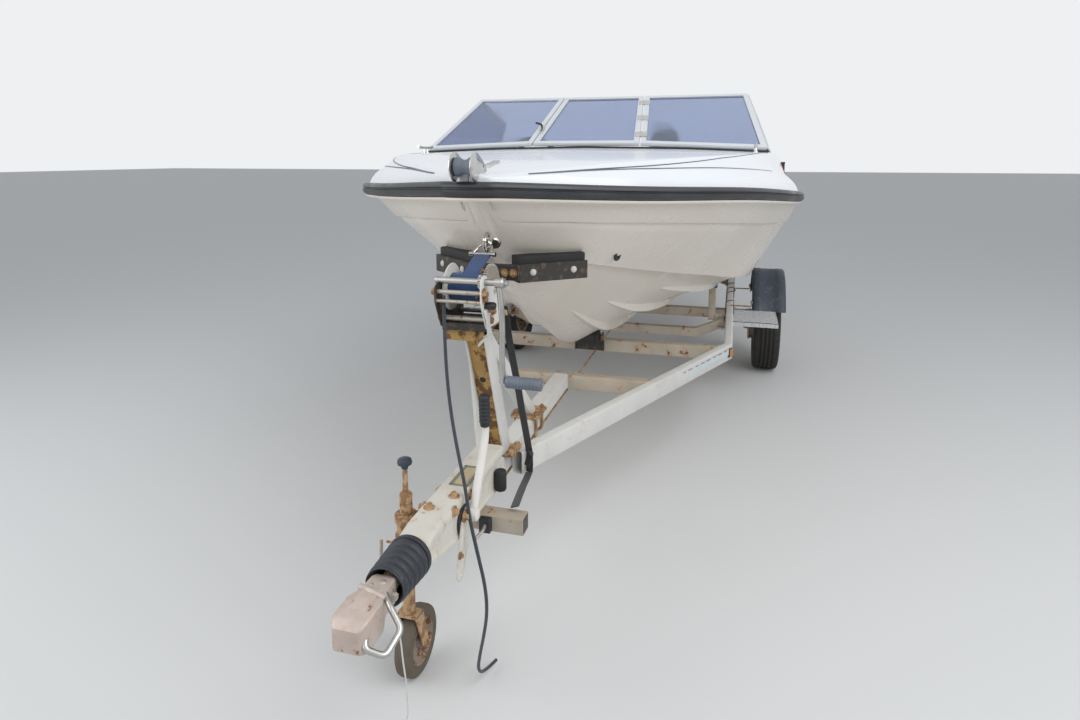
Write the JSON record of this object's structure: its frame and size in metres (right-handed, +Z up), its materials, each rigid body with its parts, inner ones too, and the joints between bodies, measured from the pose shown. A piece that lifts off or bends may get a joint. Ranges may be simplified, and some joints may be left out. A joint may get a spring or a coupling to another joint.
{
  "type": "speedboat on its road trailer",
  "caption": "Open speedboat with closed foredeck, three-pane windscreen and outboard motor, standing on its single-axle road trailer with winch post and jockey wheel.",
  "frame": {"origin": "middle of the whole length and beam, on the ground the wheels stand on", "axes": "+X forward towards the bow and the coupling, +Y to port, +Z up"},
  "size_m": [6.5456, 2.0414, 1.7426],
  "materials": {
    "gelcoat": "aged gloss gelcoat",
    "liner": "satin moulded liner",
    "rub_rail": "worn black vinyl",
    "upholstery": "grey vinyl",
    "dash": "grained black",
    "screen_frame": "anodised",
    "glazing": "blue tinted",
    "stainless": "polished",
    "dark_rubber": "weathered",
    "red_lamp": "red lens",
    "green_lamp": "green lens",
    "motor_metal": "black enamel",
    "motor_cover": "gloss black",
    "cast_aluminium": "as cast",
    "galvanised": "weathered galvanising",
    "rusty_steel": "galvanising with rust",
    "tyre": "worn",
    "wheel_steel": "painted, rusty",
    "guard": "dark slate, weathered",
    "chequer": "tread plate",
    "blue_pad": "blue rubber",
    "rope": "grey blue braid",
    "webbing": "blue webbing",
    "grip": "ribbed black"
  },
  "bodies": {
    "boat_and_trailer": {"hull": "gelcoat", "deck": "gelcoat", "rub_rail": "rub_rail", "cockpit_liner": "liner", "motor_well": "liner", "dashboard": "dash", "seat_bases": "liner", "seat_cushions": "upholstery", "screen_frame": "screen_frame", "screen_glass": "glazing", "bow_roller_cheeks": "stainless", "bow_roller": "dark_rubber", "cleats": "stainless", "bow_eye": "stainless", "port_lamp": "red_lamp", "starboard_lamp": "green_lamp", "clamp_bracket": "motor_metal", "side_rails": "galvanised", "crossmembers": "rusty_steel", "drawbar": "galvanised", "axle": "rusty_steel", "mudguards": "guard", "guard_stays": "rusty_steel", "step_plates": "chequer", "hull_posts": "galvanised", "hull_pads": "blue_pad", "keel_rollers": "dark_rubber", "roller_brackets": "rusty_steel", "winch_post": "rusty_steel", "winch_frame": "rusty_steel", "winch_drum": "galvanised", "snubber_pads": "dark_rubber", "snubber_arms": "rusty_steel", "winch_crank": "galvanised", "crank_grip": "grip", "winch_strap": "webbing", "hitch_housing": "rusty_steel", "coupling_head": "rusty_steel", "hitch_bellows": "dark_rubber", "handbrake_lever": "galvanised", "handbrake_grip": "grip", "jockey_clamp": "rusty_steel", "brake_rod": "rusty_steel", "winch_rope": "rope", "breakaway_cable": "galvanised"},
    "port_wheel": {"port_tyre": "tyre", "port_rim": "wheel_steel"},
    "starboard_wheel": {"starboard_tyre": "tyre", "starboard_rim": "wheel_steel"},
    "jockey_leg": {"jockey_leg": "rusty_steel"},
    "jockey_fork": {"jockey_fork": "rusty_steel"},
    "jockey_wheel": {"jockey_wheel": "wheel_steel"},
    "centre_screen": {"centre_screen_frame": "screen_frame", "centre_screen_glass": "glazing"},
    "steering_wheel": {"steering_wheel": "grip"},
    "motor_swivel": {"swivel_bracket": "motor_metal"},
    "motor": {"motor_leg": "motor_metal", "motor_cowl": "motor_cover", "powerhead": "cast_aluminium"},
    "propeller": {"propeller": "cast_aluminium"}
  },
  "joints": [
    {"name": "port_wheel_spin", "type": "hinge", "parent": "boat_and_trailer", "child": "port_wheel", "pos_m": [-0.5522, 0.9, 0.298], "axis": [0, 1, 0], "continuous": true},
    {"name": "starboard_wheel_spin", "type": "hinge", "parent": "boat_and_trailer", "child": "starboard_wheel", "pos_m": [-0.5522, -0.9, 0.298], "axis": [0, 1, 0], "continuous": true},
    {"name": "jockey_leg_slide", "type": "slide", "parent": "boat_and_trailer", "child": "jockey_leg", "axis": [0, 0, 1], "range_m": [-0.05, 0.15]},
    {"name": "jockey_swivel", "type": "hinge", "parent": "jockey_leg", "child": "jockey_fork", "pos_m": [2.7278, -0.15, 0.19], "axis": [0, 0, 1], "continuous": true},
    {"name": "jockey_wheel_spin", "type": "hinge", "parent": "jockey_fork", "child": "jockey_wheel", "pos_m": [2.6928, -0.15, 0.095], "axis": [0, 1, 0], "continuous": true},
    {"name": "centre_screen_hinge", "type": "hinge", "parent": "boat_and_trailer", "child": "centre_screen", "pos_m": [1.19284, 0.247, 1.49724], "axis": [-0.8856, -0.0819, 0.4571], "range_deg": [0, 95]},
    {"name": "motor_tilt", "type": "hinge", "parent": "boat_and_trailer", "child": "motor_swivel", "pos_m": [-2.4422, 0, 1.158], "axis": [0, 1, 0], "range_deg": [-45, 15]},
    {"name": "motor_steer", "type": "hinge", "parent": "motor_swivel", "child": "motor", "pos_m": [-2.48604, 0, 1.20184], "axis": [0.7071, 0, 0.7071], "range_deg": [-30, 30]},
    {"name": "propeller_spin", "type": "hinge", "parent": "motor", "child": "propeller", "pos_m": [-3.14931, 0, 0.8893], "axis": [0.7071, 0, -0.7071], "continuous": true},
    {"name": "steering_wheel_turn", "type": "hinge", "parent": "boat_and_trailer", "child": "steering_wheel", "pos_m": [0.5478, -0.425, 1.38347], "axis": [0.9063, 0, -0.4226], "range_deg": [-545, 545]}
  ],
  "couplings": [
    {"joint": "steering_wheel_turn", "follows": "motor_steer", "ratio": 18}
  ]
}
